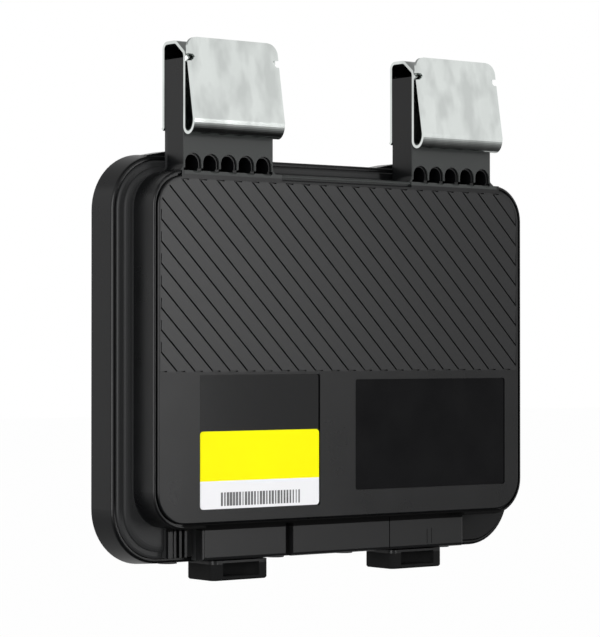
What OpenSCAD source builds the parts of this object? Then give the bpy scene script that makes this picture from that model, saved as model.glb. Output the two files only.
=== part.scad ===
// Power optimizer for a photovoltaic panel: a flat sealed box with two
// uprights, each wrapped by a spring clip that grips the panel frame's flange.
//
// Millimetres, +Z up, the front face looks along -Y, +X is to the right of
// someone looking at the front. The origin is where the frame flange seats:
// midway between the two clips, at the bottom of their slots.

/* [Front face] */
// Width of the front face plate
face_w = 124.6; // [110:0.1:128]
// Height of the front face plate
face_h = 89.65; // [80:0.05:96]
// Corner radius of the face plate
face_r = 8.5; // [5:0.1:12]
// Thickness of the front wall
face_t = 2.6; // [2.2:0.1:4]
// Rounding along the face plate's edge
face_round = 0.4; // [0.1:0.05:0.8]

/* [Rim around the face] */
// Width of the shadow gap between plate and rim
rim_gap = 0.6; // [0.3:0.05:1]
// Depth of the shadow gap
rim_gap_depth = 1.0; // [0.6:0.1:1.5]
// Width of the rim outside the gap
rim_w = 0.7; // [0.5:0.05:1.2]
// How far the rim lies behind the plate
rim_drop = 0.3; // [0.1:0.05:0.5]
// Left end of the rim's opening below the face, from the middle
rim_open_left = 47; // [40:0.1:48]
// Right end of that opening, from the middle
rim_open_right = 42; // [30:0.1:48]
// Rounding along the rim's edge
rim_round = 0.5; // [0.2:0.05:0.7]
// Thickness of the cover's side walls
cover_wall = 2.2; // [1.6:0.1:3]

/* [Diagonal grooves] */
// Spacing of the grooves, square to their run
groove_pitch = 4.0; // [3.2:0.1:6]
// Flat left between a groove's sloping floor and the next slit
groove_flat = 0.1; // [0.05:0.05:1.2]
// Depth where the sloping floor starts
groove_depth = 0.15; // [0.1:0.05:0.8]
// Width of the narrow slit along the step
slit_w = 0.5; // [0.2:0.02:0.8]
// Depth of the narrow slit
slit_depth = 1.0; // [0.8:0.1:1.4]
// Plain border between the grooves and the plate's edge
groove_margin = 0.9; // [0.5:0.1:2]
// Length of the short hook at either end of a groove's slit
hook_l = 2.7; // [1:0.1:3.4]
// Width of that hook
hook_w = 0.3; // [0.2:0.05:0.5]
// Height of the plain zone below the grooves
plain_h = 39.1; // [36:0.1:44]

/* [Label and plate recesses] */
// Width of the stick-on label
label_w = 39.1; // [30:0.1:44]
// Height of the stick-on label
label_h = 20.1; // [12:0.1:24]
// Thickness of the stick-on label
label_t = 0.2; // [0.1:0.05:0.35]
// Distance of the label's middle left of the face's middle
label_x = 29.4; // [26:0.1:32]
// Height of the label above the plate's lower edge
label_z = 3.6; // [2:0.1:6]
// Room around the label in its recess
label_gap = 0.25; // [0.1:0.05:0.6]
// Bare panel left above the label in the recess
badge_h = 14.4; // [8:0.1:16]
// Depth of the label's recess
label_recess = 0.4; // [0.3:0.05:0.6]
// Width of the rating plate
plate_w = 54.2; // [40:0.1:58]
// Height of the rating plate
plate_h = 29.7; // [20:0.1:31]
// Thickness of the rating plate
plate_t = 0.3; // [0.15:0.05:0.4]
// Distance of the rating plate's middle right of the face's middle
plate_x = 29.8; // [28:0.1:31]
// Height of the rating plate above the plate's lower edge
plate_z = 7.1; // [4:0.1:9]
// Room around the rating plate
plate_gap = 0.1; // [0.05:0.05:0.3]
// Depth of the rating plate's recess
plate_recess = 0.55; // [0.45:0.05:0.7]

/* [Rear housing] */
// How far the housing reaches beyond the face plate at each side
base_side = 7.1; // [6.2:0.05:9]
// How far the housing reaches above the face plate
base_over = 6.275; // [5.6:0.025:8]
// How far the housing reaches below the face plate
base_under = 11.275; // [9:0.025:13]
// Corner radius of the rear housing
base_r = 15; // [13:0.1:18]
// Depth from the face to the rear
body_depth = 20.2; // [19:0.1:26]
// Depth of the housing's outer wall
wall_d = 8.8; // [7.2:0.1:10]
// Draft of the outer wall over its depth
base_draft = 0.6; // [0.2:0.05:1]
// Thickness of the rear wall
base_back = 2.0; // [1.5:0.1:3]
// Bevel around the rear edge
back_bevel = 0.3; // [0.2:0.1:1]
// Depth of the shallow field in the rear wall
back_field = 0.6; // [0.2:0.1:0.8]
// Rim left around that field
back_rim = 5; // [4:0.1:10]
// Plain strip left between that field and the cable troughs
back_strip = 2; // [1:0.1:6]
// Width of the lip around the cover's flange
lip_w = 1.1; // [0.8:0.05:1.4]
// Rounding along the lip's front edge
lip_round = 0.7; // [0.2:0.05:0.8]
// Gap between the lip and the cover's flange
flange_gap = 0.2; // [0.15:0.05:0.5]
// How far the flange stands forward of the lip
flange_proud = 0.6; // [0.4:0.1:2]
// Thickness of the cover's flange
flange_t = 1.7; // [1.5:0.1:1.9]
// Width of the seat that the flange rests on
seat_w = 3.3; // [3:0.1:4]
// Width of the flange that shows around the inner ledge
ledge_in = 1.8; // [1:0.1:2.4]
// How far the inner ledge stands forward of the flange
ledge_proud = 1.0; // [0.8:0.1:2]
// Rounding along the flange's edge
flange_round = 0.7; // [0.2:0.05:0.9]
// Depth of the soft edge of the ledge
ledge_fall = 0.7; // [0.4:0.05:0.75]
// Width of that soft edge
ledge_soft = 2; // [0.8:0.1:2.4]
// Width of the seal in its groove
seal_w = 1.5; // [1:0.1:1.8]
// Thickness of the seal
seal_t = 0.8; // [0.6:0.1:1]
// Gap beside the seal
seal_gap = 0.05; // [0.02:0.01:0.1]

/* [Lower band] */
// How far the band lies behind the face
band_y = 6.0; // [4:0.1:8]
// Left end of the band from the middle
band_left = 43.8; // [38:0.1:46]
// Right end of the band from the middle
band_right = 46.7; // [40:0.1:50]
// How far the band reaches below the flange
band_drop = 0.9; // [0.4:0.1:1.2]
// Width of the slot that parts the band
band_slot = 2.6; // [1.5:0.1:4]
// Distance of the slot left of the middle
band_slot_x = 15.3; // [10:0.1:20]
// Depth of the slot and the corner recess
band_slot_depth = 2.4; // [1:0.1:3]
// Width of the fine seam in the band
seam_w = 0.3; // [0.15:0.05:0.6]
// Distance of the seam right of the middle
seam_x = 19.6; // [10:0.1:28]
// Rounding of the band's ends
band_round = 0.7; // [0.3:0.1:1.2]
// Width of the ribbed corner left of the band
corner_w = 9.8; // [8:0.1:11]
// Width of the first rib in that corner
rib_w = 1.4; // [0.8:0.1:1.6]
// Width of the other ribs
rib_thin = 0.75; // [0.4:0.05:1]
// How far the ribs stand forward of the ledge
rib_proud = 1.8; // [0.5:0.1:2.5]
// Distance of the fine ridges on the band right of the middle
ridge_x = 34.3; // [28:0.1:38]
// How far a fine ridge stands forward of the band
ridge_proud = 0.12; // [0.05:0.01:0.4]

/* [Feet] */
// Distance of each foot from the middle
foot_x = 30.6; // [24:0.1:33]
// Width of a foot
foot_w = 18.7; // [14:0.1:22]
// Height of a foot below the band
foot_h = 5.5; // [3:0.1:6]
// Distance of a foot's front behind the face
foot_front = 7.1; // [6.5:0.1:9]
// Depth of a foot
foot_d = 11.3; // [8:0.1:12.5]
// Wall beside a foot's pocket
foot_wall = 3.4; // [2.5:0.1:5]
// Radius of a foot's front corners
foot_r = 1.8; // [1:0.1:3]
// Radius of a foot's rear corners
foot_back_r = 0.6; // [0.5:0.1:1]
// Corner radius inside a foot's pocket
pocket_r = 5.2; // [1:0.1:5.6]
// Bevel along the lower edge of a foot
foot_bevel = 0.4; // [0.2:0.1:0.5]
// Height of the lip at the bottom of a foot
foot_lip = 1.0; // [0.6:0.1:1.6]
// Gap between a foot and the band above it
foot_gap = 0.3; // [0.2:0.05:0.6]
// Depth of a foot's pocket
foot_pocket = 5.5; // [4:0.1:7.8]

/* [Uprights] */
// Spacing of the two uprights, middle to middle
upright_pitch = 77.3; // [60:0.1:84]
// Width of an upright
upright_w = 28.8; // [24:0.1:34]
// Thickness of an upright
upright_t = 8.5; // [6:0.1:9]
// Height of an upright above the face plate
upright_h = 30.4; // [26:0.1:40]
// How far an upright's front lies behind the face
upright_y = 1.7; // [1.2:0.1:2.5]
// Flare at the foot of an upright
upright_flare = 1.8; // [0.8:0.1:2.4]
// How far the face rises at the foot of an upright
root_rise = 1.25; // [0.8:0.05:2]
// Number of pockets across an upright
pocket_n = 5; // [4:1:6]
// Wall between two pockets
pocket_wall = 0.5; // [0.4:0.05:1.2]
// Width of the ledge along the right side of a pocket
pocket_ledge = 0.7; // [0.4:0.05:1]
// Depth of that ledge
pocket_step = 0.6; // [0.3:0.05:1]
// Height of a pocket
pocket_h = 4.7; // [3:0.1:6]
// Depth of a pocket
pocket_d = 6; // [2:0.1:6.4]
// Height of the slot along the foot of the pockets
root_slot = 0.8; // [0.4:0.1:1.2]
// Width of the housing's shoulder behind an upright
shoulder_w = 37.2; // [30:0.1:40]
// Rise of that shoulder above the lip
shoulder_h = 1.35; // [0.5:0.05:2]
// Run of its slope at either end
shoulder_run = 7; // [4:0.1:10]
// Wall around the hollow of an upright
upright_wall = 1.7; // [1.2:0.1:2.5]
// Depth of the hollow from the top of an upright
upright_core = 20; // [10:0.5:21]

/* [Spring clips] */
// Width of the spring strip
clip_w = 29.2; // [26:0.1:34]
// Thickness of the spring strip
clip_t = 0.8; // [0.5:0.05:1]
// Inner width of the slot at its bottom
slot_w = 2.8; // [2:0.1:4]
// Depth of the slot below the upright's top
slot_h = 19.1; // [15:0.1:22]
// Gap at the mouth of the slot
mouth_gap = 0.7; // [0.4:0.05:1.5]
// Height of the strip above the upright's top
clip_rise = 4.7; // [3:0.1:6]
// Rise of the outer plate above the rest of the strip
plate_rise = 0.6; // [0:0.1:1.5]
// Length of the back leg below the upright's top
back_leg = 17.5; // [10:0.1:22]
// Corner radius at the top of the outer plate
clip_r = 3.0; // [2:0.1:3.6]
// Rise of the fold above the middle of the slot's bend
kink_h = 1.7; // [1:0.1:3]
// How far the bend bulges in front of the slot
bend_bulge = 0.65; // [0:0.05:1]
// Bend radius at the back of the strip's top
bend_back = 1.6; // [1:0.1:2]
// Bend radius where the strip's top turns down to the front
bend_front = 2; // [1:0.1:2.5]
// Length of the strip's sloping lead-in, measured along Y
lead_in = 4.6; // [4:0.1:5]
// Bend radius where the lead-in meets the front leg
bend_lead = 2.4; // [1:0.1:2.6]
// Height of the gripping teeth below the outer plate's top
tooth_z = 4.5; // [4:0.1:8]
// Height of the notch below a tooth
notch_h = 1.8; // [1.2:0.1:3]
// Reach of the notch into the outer plate
notch_w = 2.0; // [1.2:0.1:3]
// Length of a tooth toward the upright
tooth_len = 0.35; // [0.2:0.05:0.5]
// How far the end of the back leg turns out
flare = 0.5; // [0.2:0.1:1]
// Height of that turned-out end
flare_h = 0.6; // [0.4:0.1:1.2]
// Height of the lead-in's lower bend above the upright
lead_over = 0.2; // [0:0.1:0.6]

/* [Cable inlets] */
// Diameter of the cable that an inlet takes
cable_d = 4.2; // [3:0.1:4.4]
// Clearance around the cable, per side
cable_gap = 0.1; // [0.05:0.05:0.3]
// Wall of a sealing sleeve
sleeve_t = 0.4; // [0.3:0.05:0.5]
// Length of a sealing sleeve
sleeve_len = 6; // [4:0.5:6.5]
// Distance of the outer inlets from the middle
inlet_out_x = 47.5; // [45:0.1:50]
// Distance of the inner inlets from the middle
inlet_in_x = 12; // [9:0.1:15]
// Clearance around the cable in the trough behind the board, per side
trough_gap = 0.3; // [0.15:0.05:0.35]
// Wall left behind a sleeve
inlet_back = 0.6; // [0.5:0.1:0.8]
// Wall of the boss around a sleeve
boss_wall = 1.4; // [1:0.1:2]

/* [Circuit board] */
// Room beside the circuit board
pcb_side = 8.2; // [5:0.1:10]
// Room above the circuit board
pcb_over = 9.1; // [5:0.1:11]
// Room below the circuit board
pcb_under = 8.1; // [6:0.1:10]
// Thickness of the circuit board
pcb_t = 1.6; // [1:0.1:2]
// Height of the posts that carry the board
post_h = 2.8; // [2.6:0.1:4]
// Diameter of a post
post_d = 6; // [5:0.1:7]
// Distance of the posts from the board's edges
post_in = 5; // [4:0.1:6]
// Diameter of a board screw's shank
screw_d = 2.4; // [2:0.1:3]
// Clearance around the shank in its post, per side
screw_gap = 0.05; // [0.03:0.01:0.1]
// Clearance around the shank in the board, per side
board_gap = 0.25; // [0.1:0.05:0.4]
// Diameter of a board screw's head
head_d = 4.6; // [4:0.1:5.4]
// Height of a board screw's head
head_h = 1.6; // [1.2:0.1:2.2]
// Length of a screw below the board
screw_len = 3.0; // [2.4:0.1:3.4]
// Depth of a post's hole past the screw's tip
tip_room = 0.2; // [0.1:0.1:0.4]
// Width of the cross cut in a screw's head
cross_w = 0.6; // [0.4:0.05:0.8]
// Depth of that cross
cross_d = 0.8; // [0.5:0.1:1.1]
// Corner radius of the circuit board
board_r = 3; // [1:0.1:5]

/* [Power stage] */
// Side of the inductor's square core
core_s = 26; // [20:0.5:30]
// Height of the inductor's core
core_h = 9.6; // [7:0.1:10]
// Diameter of the core's middle leg
leg_d = 9; // [7:0.1:11]
// Outer diameter of the winding
wind_d = 20; // [15:0.1:22]
// Height of the winding
wind_h = 6; // [4:0.1:7]
// Room around the winding inside the core
wind_gap = 0.3; // [0.1:0.05:0.5]
// Width of the opening in the core's side
core_slot = 10; // [6:0.1:12]
// Distance that the opening stops short of the middle leg
slot_stop = 1; // [0.5:0.1:2]
// Diameter of a storage capacitor
cap_d = 8; // [6:0.1:10]
// Height of a storage capacitor
cap_h = 9; // [6:0.1:10]
// How much wider its square foot is
can_rim = 0.4; // [0.2:0.1:0.8]
// Thickness of that foot
can_foot = 1.2; // [0.8:0.1:1.6]
// Gap between two storage capacitors
can_gap = 2; // [1:0.1:3]
// Width of a transistor package
fet_w = 6; // [5:0.1:8]
// Thickness of a transistor package
fet_t = 1.1; // [0.8:0.1:1.4]
// Spacing of the transistor packages
fet_pitch = 14; // [9:0.1:16]
// Width of a cable terminal
term_w = 6.4; // [4:0.1:8]
// Length of a cable terminal
term_len = 9; // [6:0.1:12]
// Gap between a cable terminal and the rear wall
term_gap = 0.3; // [0.1:0.1:0.6]
// Height of a cable terminal's middle above the board's lower edge
term_z = 17; // [15:0.1:20]
// Diameter of a terminal's hole for the bare conductor
wire_d = 1.8; // [1:0.1:2]
// Thickness of the thermal pad
pad_t = 0.7; // [0.4:0.1:1]
// Width of the heat spreader
spread_w = 70; // [60:0.5:76]
// Height of the heat spreader
spread_h = 26; // [18:0.5:30]
// Border of the heat spreader that the thermal pad leaves bare
pad_in = 4; // [2:0.1:6]

/* [Small board parts] */
// Length of a filter capacitor
filter_l = 3.2; // [2:0.1:4]
// Width of a filter capacitor
filter_w = 2.5; // [1.6:0.1:3.2]
// Height of a filter capacitor
filter_h = 1.7; // [1:0.1:2.5]
// Gap between two filter capacitors
filter_gap = 2.8; // [1:0.1:4]
// Width of the bypass diode
diode_w = 10; // [8:0.1:11]
// Length of the bypass diode
diode_l = 9; // [7:0.1:10]
// Height of the bypass diode
diode_h = 4.4; // [3:0.1:5]
// Length of the current shunt
shunt_l = 6.4; // [4:0.1:7]
// Width of the current shunt
shunt_w = 3.2; // [2:0.1:4]
// Height of the current shunt
shunt_h = 0.8; // [0.5:0.1:1.2]
// Side of the controller chip
chip_s = 7; // [5:0.1:8]
// Height of the controller chip
chip_h = 1; // [0.7:0.1:1.4]
// Length of the clock crystal
crystal_l = 3.2; // [2:0.1:4]
// Width of the clock crystal
crystal_w = 2.5; // [1.6:0.1:3.2]
// Height of the clock crystal
crystal_h = 0.9; // [0.6:0.1:1.2]
// Side of the radio chip
radio_s = 5; // [4:0.1:6]
// Height of the radio chip
radio_h = 0.9; // [0.6:0.1:1.4]
// Width of the radio shield
shield_w = 16; // [12:0.1:17]
// Length of the radio shield
shield_l = 14; // [10:0.1:15]
// Height of the radio shield
shield_h = 2.6; // [2:0.1:3.5]
// Sheet of the radio shield
shield_t = 0.4; // [0.3:0.05:0.6]
// Length of the radio antenna
antenna_l = 8; // [6:0.1:10]
// Width of the radio antenna
antenna_w = 2.2; // [1.5:0.1:3]
// Height of the radio antenna
antenna_h = 1.2; // [0.8:0.1:1.6]

/* [Hidden] */
$fn = 96;
eps = 0.05;
cover_black = [0.17, 0.18, 0.19];
housing_black = [0.13, 0.14, 0.15];

// Outline of the rim around the face
rim_out = rim_gap + rim_w;
rim_width = face_w + 2 * rim_out;
rim_height = face_h + 2 * rim_out;
rim_r = face_r + rim_out;
face_top = face_h / 2;
face_bottom = -face_h / 2;

// Outlines that step in from the housing's outer wall: lip, flange, ledge
base_w = face_w + 2 * base_side;
base_h = face_h + base_over + base_under;
base_drop = (base_under - base_over) / 2;
lip_out_w = base_w - 2 * base_draft;
lip_out_h = base_h - 2 * base_draft;
lip_out_r = base_r - base_draft;
flange_w = lip_out_w - 2 * (lip_w + flange_gap);
flange_h = lip_out_h - 2 * (lip_w + flange_gap);
flange_r = lip_out_r - lip_w - flange_gap;
ledge_width = flange_w - 2 * ledge_in;
ledge_height = flange_h - 2 * ledge_in;
ledge_r = flange_r - ledge_in;
hollow_w = flange_w + 2 * flange_gap - 2 * seat_w;
hollow_h = flange_h + 2 * flange_gap - 2 * seat_w;
hollow_r = flange_r + flange_gap - seat_w;
flange_bottom = -base_drop - flange_h / 2;
base_bottom = -base_drop - base_h / 2;
lip_bottom = -base_drop - lip_out_h / 2;
lip_top = -base_drop + lip_out_h / 2;

// Depths behind the face
inner_back = body_depth - base_back;
pcb_back = inner_back - post_h;
pcb_front = pcb_back - pcb_t;
inlet_r = cable_d / 2 + cable_gap + sleeve_t;
lip_y = body_depth - wall_d;
flange_y = lip_y - flange_proud;
seat_y = flange_y + flange_t;
ledge_y = flange_y - ledge_proud;

// Uprights and clips
upright_top = face_top + upright_h;
root_z = face_top + root_rise;
leg_y = upright_y - clip_t;
slot_y = leg_y - slot_w / 2;
slot_z = upright_top - slot_h;
bend_z = slot_z + slot_w / 2;
bend_r = (slot_w + clip_t) / 2;
clip_top = upright_top + clip_rise;
kink_z = bend_z + kink_h;
groove_run = groove_pitch - groove_flat;
plate_y = slot_y - bend_r - bend_bulge;
plate_top = clip_top + plate_rise;
plate_lean = (slot_w + bend_bulge - mouth_gap) / (upright_top - kink_z);
plate_top_y = plate_y + plate_lean * (plate_top - kink_z);
pocket_pitch = (upright_w - pocket_wall / 2) / pocket_n;
pocket_w = pocket_pitch - pocket_wall;

// Lower band and feet
band_bottom = flange_bottom - band_drop;
corner_x = -band_left - corner_w;
rib_y = ledge_y - rib_proud;
rib_gaps = [0.15, 0.35, 1.0, 0.95];
band_back = lip_y - flange_gap;
foot_top = band_bottom - foot_gap;
foot_bottom = band_bottom - foot_h;

// Circuit board
pcb_w = hollow_w - 2 * pcb_side;
pcb_h = hollow_h - pcb_over - pcb_under;
pcb_z = -base_drop + (pcb_under - pcb_over) / 2;
post_x = pcb_w / 2 - post_in;
post_z = pcb_h / 2 - post_in;
posts = [for (sx = [-1, 1], sz = [-1, 1]) [sx * post_x, pcb_z + sz * post_z]];
inlets = [-inlet_out_x, -inlet_in_x, inlet_in_x, inlet_out_x];
inlet_y = body_depth - inlet_back - inlet_r;
inlet_top = base_bottom + sleeve_len;
term_bottom = pcb_z - pcb_h / 2 + term_z - term_len / 2;
fet_z = pcb_z + 0.15 * pcb_h;
field_bottom = term_bottom + back_strip;
field_top = -base_drop + lip_out_h / 2 - back_rim;
field_r = lip_out_r - back_rim;
core_at = [-0.3 * pcb_w, 0.125 * pcb_h];
radio_at = [0.375 * pcb_w, 0.125 * pcb_h];
antenna_at = [0.375 * pcb_w, 0.325 * pcb_h];
chip_at = [0.215 * pcb_w, 0.16 * pcb_h];
crystal_at = [0.277 * pcb_w, 0.16 * pcb_h];
diode_at = [0.2 * pcb_w, -0.1 * pcb_h];
shunt_at = [0.036 * pcb_w, 0];
can_x = -0.107 * pcb_w;
can_step = cap_d + can_gap;
can_in_z = 0.325 * pcb_h;
can_out_z = -0.3 * pcb_h;
filter_z = 0.16 * pcb_h;
filter_step = filter_l + filter_gap;

// Shift that puts the origin where the frame flange seats
module seated() { translate([0, -slot_y, -slot_z]) children(); }

// Box from one corner to the opposite corner
module span(a, b) { translate(a) cube([b[0] - a[0], b[1] - a[1], b[2] - a[2]]); }

// Rounded slab in the XZ plane; p lists how far the outline stands out, and where, as [outset, y]
module turned_slab(w, h, r, p) {
    cx = w / 2 - r;
    cz = h / 2 - r;
    last = len(p) - 1;
    for (sx = [-1, 1], sz = [-1, 1])
        translate([sx * cx, 0, sz * cz]) rotate([-90, 0, 0]) rotate_extrude()
            polygon(concat([[0, p[0][1]]], [for (q = p) [r + q[0], q[1]]], [[0, p[last][1]]]));
    rotate([90, 0, 90]) linear_extrude(height = 2 * cx, center = true)
        polygon(concat([for (q = p) [q[1], h / 2 + q[0]]], [for (i = [last:-1:0]) [p[i][1], -h / 2 - p[i][0]]]));
    linear_extrude(height = 2 * cz, center = true)
        polygon(concat([for (q = p) [w / 2 + q[0], q[1]]], [for (i = [last:-1:0]) [-w / 2 - p[i][0], p[i][1]]]));
}

// Front edge that turns over with radius b in three steps, as [outset, y]
function round_front(y0, b) = [for (a = [0:30:90]) [b * sin(a) - b, y0 + b * (1 - cos(a))]];

// Front edge that falls off softly over width w and depth d, as [outset, y]
function soft_front(y0, w, d) = [for (a = [0:18:90]) [w * sin(a) - w, y0 + d * (1 - cos(a))]];

// Rounded slab in the XZ plane with a straight wall
module slab(w, h, r, y0, y1) {
    translate([0, y1, 0]) rotate([90, 0, 0]) linear_extrude(height = y1 - y0) {
        square([w - 2 * r, h], center = true);
        square([w, h - 2 * r], center = true);
        for (sx = [-1, 1], sz = [-1, 1]) translate([sx * (w / 2 - r), sz * (h / 2 - r)]) circle(r);
    }
}

// Rounded slab with a rounded front edge
module round_slab(w, h, r, y0, y1, b) {
    turned_slab(w, h, r, concat(round_front(y0, b), [[0, y1]]));
}

// Ring between two outlines, cut back from y0 to y1
module ring(w, h, r, t, y0, y1) {
    difference() {
        slab(w, h, r, y0, y1);
        slab(w - 2 * t, h - 2 * t, r - t, y0 - eps, y1 + eps);
    }
}

// Diagonal grooves, each a narrow slit with a floor that slopes up to the right
module grooves() {
    zone_w = face_w - 2 * groove_margin;
    zone_top = face_top - groove_margin;
    zone_bottom = face_bottom + plain_h;
    reach = (zone_w + face_h) / sqrt(2);
    n = ceil(reach / groove_pitch / 2);
    inset = 0.7 * slit_w;
    intersection() {
        slab(zone_w, 2 * zone_top, face_r - groove_margin, -1, slit_depth + eps);
        span([-zone_w, -2, zone_bottom], [zone_w, slit_depth + 1, zone_top + 1]);
        for (i = [-n:n]) {
            rotate([0, -45, 0]) translate([i * groove_pitch, 0, 0])
                linear_extrude(height = 2 * reach, center = true)
                    polygon([[0, -eps], [0, slit_depth], [slit_w, slit_depth], [slit_w, groove_depth],
                             [groove_run, 0], [groove_run, -eps]]);
            start = i * groove_pitch * sqrt(2);
            side_z = start + zone_w / 2;
            if (side_z > zone_bottom && side_z < zone_top - face_r)
                span([-zone_w / 2 - 1, -1, side_z + inset],
                     [-zone_w / 2 + hook_w, 0.7 * slit_depth, side_z + hook_l]);
            span([start - zone_bottom + inset, -1, zone_bottom - 1],
                 [start - zone_bottom + hook_l, 0.7 * slit_depth, zone_bottom + hook_w]);
            span([start - zone_top + inset, -1, zone_top - hook_w],
                 [start - zone_top + hook_l, 0.7 * slit_depth, zone_top + 1]);
        }
    }
}

// Arched hollow of width w, height h and depth d, cut back from the plane y = 0
module pocket(w, h, d) {
    straight = max(0.2, h - w / 2);
    translate([0, d, 0]) rotate([90, 0, 0]) linear_extrude(height = d + 2) {
        translate([-w / 2, 0]) square([w, straight]);
        translate([0, straight]) circle(w / 2);
    }
}

// Upright with its flared foot, its row of pockets and its hollow top
module upright() {
    difference() {
        union() {
            span([-upright_w / 2, upright_y, face_top - 1],
                 [upright_w / 2, upright_y + upright_t, upright_top]);
            span([-upright_w / 2 - upright_flare, 0, face_top - face_round - eps],
                 [upright_w / 2 + upright_flare, upright_y + eps, root_z]);
            for (s = [-1, 1])
                translate([s * upright_w / 2, upright_y + upright_t, rim_height / 2])
                    rotate([90, 0, 0]) linear_extrude(height = upright_t) difference() {
                        translate([min(s, 0) * upright_flare, -1]) square([upright_flare, upright_flare + 1]);
                        translate([s * upright_flare, upright_flare]) circle(upright_flare);
                    }
        }
        for (i = [0:pocket_n - 1])
            translate([(i - (pocket_n - 1) / 2) * pocket_pitch, upright_y, root_z]) {
                pocket(pocket_w, pocket_h, pocket_step);
                translate([-0.4 * pocket_ledge, 0, 0])
                    pocket(pocket_w - pocket_ledge, pocket_h - 0.6 * pocket_ledge, pocket_d);
            }
        span([-upright_w / 2 - eps, upright_y - 1, root_z], [upright_w / 2 + eps, upright_y + 1, root_z + root_slot]);
        span([-upright_w / 2 + upright_wall, upright_y + upright_wall, upright_top - upright_core],
             [upright_w / 2 - upright_wall, upright_y + upright_t - upright_wall, upright_top + 1]);
    }
}

// Start of each rib in the corner left of the band
function rib_start(i) = i == 0 ? corner_x + rib_gaps[0]
    : rib_start(i - 1) + (i == 1 ? rib_w : rib_thin) + rib_gaps[i];

// Band below the face, parted by a slot and a fine seam, with ribs at its left and two ridges at its right
module lower_band() {
    difference() {
        rotate([90, 0, 90]) translate([0, 0, -band_left]) linear_extrude(height = band_left + band_right)
            polygon([[band_y, face_bottom - eps], [band_y, band_bottom + 0.9], [band_y + 0.3, band_bottom + 0.3],
                     [band_y + 0.9, band_bottom], [band_back, band_bottom], [band_back, face_bottom - eps]]);
        translate([-band_slot_x, 0, 0])
            span([-band_slot / 2, band_y - 1, band_bottom - 1],
                 [band_slot / 2, band_y + band_slot_depth, face_bottom]);
        translate([seam_x, 0, 0])
            span([-seam_w / 2, band_y - 1, band_bottom - 1], [seam_w / 2, band_y + 0.5, face_bottom]);
        translate([-band_left, band_y, band_bottom - 1]) linear_extrude(height = face_bottom - band_bottom + 2)
            difference() {
                translate([-1, -1]) square(band_round + 1);
                translate([band_round, band_round]) circle(band_round);
            }
        translate([band_right, band_y, band_bottom - 1]) linear_extrude(height = face_bottom - band_bottom + 2)
            difference() {
                translate([-band_round, -1]) square(band_round + 1);
                translate([-band_round, band_round]) circle(band_round);
            }
    }
    for (i = [0:3])
        span([rib_start(i), rib_y, flange_bottom + 0.2],
             [rib_start(i) + (i == 0 ? rib_w : rib_thin), flange_y + 0.5, face_bottom]);
    for (s = [-1, 1])
        translate([ridge_x + 0.8 * s, 0, 0])
            span([-rib_thin / 3, band_y - ridge_proud, band_bottom + 1.2], [rib_thin / 3, band_y + 0.3, band_bottom + 5.4]);
}

module front_cover() {
    color(cover_black) difference() {
        union() {
            difference() {
                round_slab(rim_width, rim_height, rim_r, rim_drop, ledge_y + eps, rim_round);
                ring(face_w + 2 * rim_gap, face_h + 2 * rim_gap, face_r + rim_gap, rim_gap + 1, -1, rim_gap_depth);
                span([-rim_open_left, -1, -rim_height / 2 - 1], [rim_open_right, band_y - 0.6, face_bottom - rim_gap + 0.1]);
            }
            round_slab(face_w, face_h, face_r, 0, face_t, face_round);
            difference() {
                translate([0, 0, -base_drop]) {
                    turned_slab(ledge_width, ledge_height, ledge_r,
                                concat(soft_front(ledge_y, ledge_soft, ledge_fall), [[0, flange_y + eps]]));
                    round_slab(flange_w, flange_h, flange_r, flange_y, seat_y, flange_round);
                }
                span([corner_x, ledge_y - 1, flange_bottom - 1], [-band_left, ledge_y + 1.2, -rim_height / 2 - 0.4]);
                span([band_right - 1, ledge_y - 1, flange_bottom - 1],
                     [ledge_width / 2 + 1, ledge_y + 1.2, -rim_height / 2 - 0.4]);
            }
            for (s = [-1, 1]) translate([s * upright_pitch / 2, 0, 0]) upright();
            lower_band();
        }
        slab(rim_width - 2 * cover_wall, rim_height - 2 * cover_wall, rim_r - cover_wall, face_t, seat_y + 1);
        grooves();
        translate([-label_x, 0, face_bottom + label_z + (label_h + badge_h) / 2])
            slab(label_w + 2 * label_gap, label_h + badge_h + 2 * label_gap, 0.8, -1, label_recess);
        translate([plate_x, 0, face_bottom + plate_z + plate_h / 2])
            slab(plate_w + 2 * plate_gap, plate_h + 2 * plate_gap, 0.8, -1, plate_recess);
    }
}

// Foot below the housing: a rounded block with a pocket that opens to the front
module foot() {
    difference() {
        for (f = [[foot_d, foot_r], [foot_d - 3, foot_back_r]])
            translate([0, foot_front + foot_d - f[0] / 2, 0]) rotate([90, 0, 0])
                turned_slab(foot_w, f[0], f[1], [[-foot_bevel, foot_bottom], [0, foot_bottom + foot_bevel], [0, foot_top]]);
        translate([0, foot_front + foot_pocket / 2 - pocket_r, 0]) rotate([90, 0, 0])
            slab(foot_w - 2 * foot_wall, foot_pocket + 2 * pocket_r, pocket_r, foot_bottom + foot_lip, foot_top - 0.6);
    }
    span([-foot_w / 2 + foot_r / 2, lip_y + 0.2, foot_top - eps],
         [foot_w / 2 - foot_r / 2, foot_front + foot_d - foot_r / 2, lip_bottom + 1]);
}

// Low shoulder along the housing's top edge, behind an upright
module shoulder() {
    translate([0, body_depth - back_bevel, lip_top]) rotate([90, 0, 0])
        linear_extrude(height = body_depth - back_bevel - lip_y - lip_round)
            polygon([[-shoulder_w / 2 - 1, -1], [-shoulder_w / 2, 0], [-shoulder_w / 2 + shoulder_run, shoulder_h],
                     [shoulder_w / 2 - shoulder_run, shoulder_h], [shoulder_w / 2, 0], [shoulder_w / 2 + 1, -1]]);
}

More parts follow.
